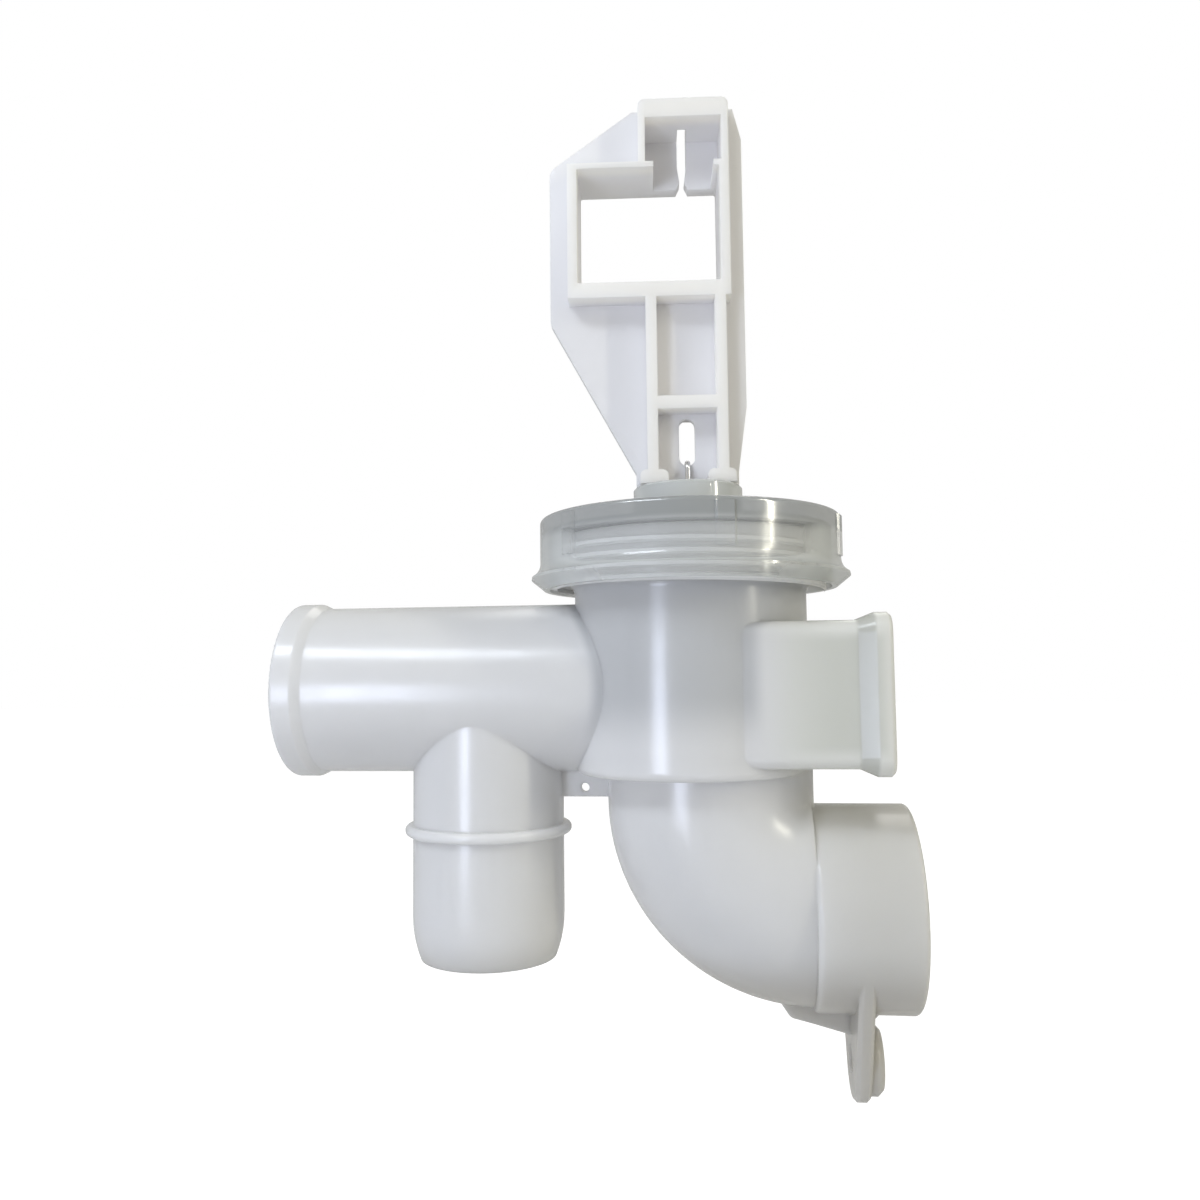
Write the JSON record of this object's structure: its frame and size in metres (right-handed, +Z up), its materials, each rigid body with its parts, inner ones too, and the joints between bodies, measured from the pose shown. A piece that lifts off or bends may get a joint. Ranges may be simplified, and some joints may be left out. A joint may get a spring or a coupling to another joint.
{
  "type": "washing machine drain valve",
  "caption": "Milky plastic drain valve body with an outlet pipe, a branch stub, a bent inlet socket, an overflow port, a screwed cap and an upright pull lever.",
  "frame": {"origin": "centre of the inlet socket's mouth", "axes": "+X out of the inlet socket's mouth, +Z up along the valve axis towards the lever's top, -Y the side that the lever's pocket faces (the picture's side)"},
  "size_m": [0.1343, 0.0698, 0.2183],
  "materials": {
    "natural_plastic": "milky natural polypropylene, smooth satin, light shows softly through it",
    "cap_plastic": "clearer grey polypropylene, smooth satin",
    "lever_plastic": "opaque warm white, satin",
    "black_rubber": "dark soft rubber",
    "spring_steel": "bright drawn stainless wire"
  },
  "bodies": {
    "housing": {"valve_body": "natural_plastic", "bonnet": "cap_plastic", "outer_spring": "spring_steel"},
    "stem": {"guide_sleeve": "natural_plastic", "bellows_seal": "black_rubber", "inner_spring": "spring_steel"},
    "lever": {"pull_lever": "lever_plastic"}
  },
  "joints": [
    {"name": "valve_lift", "type": "slide", "parent": "housing", "child": "stem", "axis": [0, 0, 1], "range_m": [0, 0.012], "stiffness_N_per_m": 430, "springref_m": -0.03, "deforming": ["bellows_seal", "outer_spring"]},
    {"name": "lever_overtravel", "type": "slide", "parent": "stem", "child": "lever", "axis": [0, 0, 1], "range_m": [0, 0.004], "stiffness_N_per_m": 6500, "springref_m": -0.0035, "deforming": ["inner_spring"]}
  ]
}
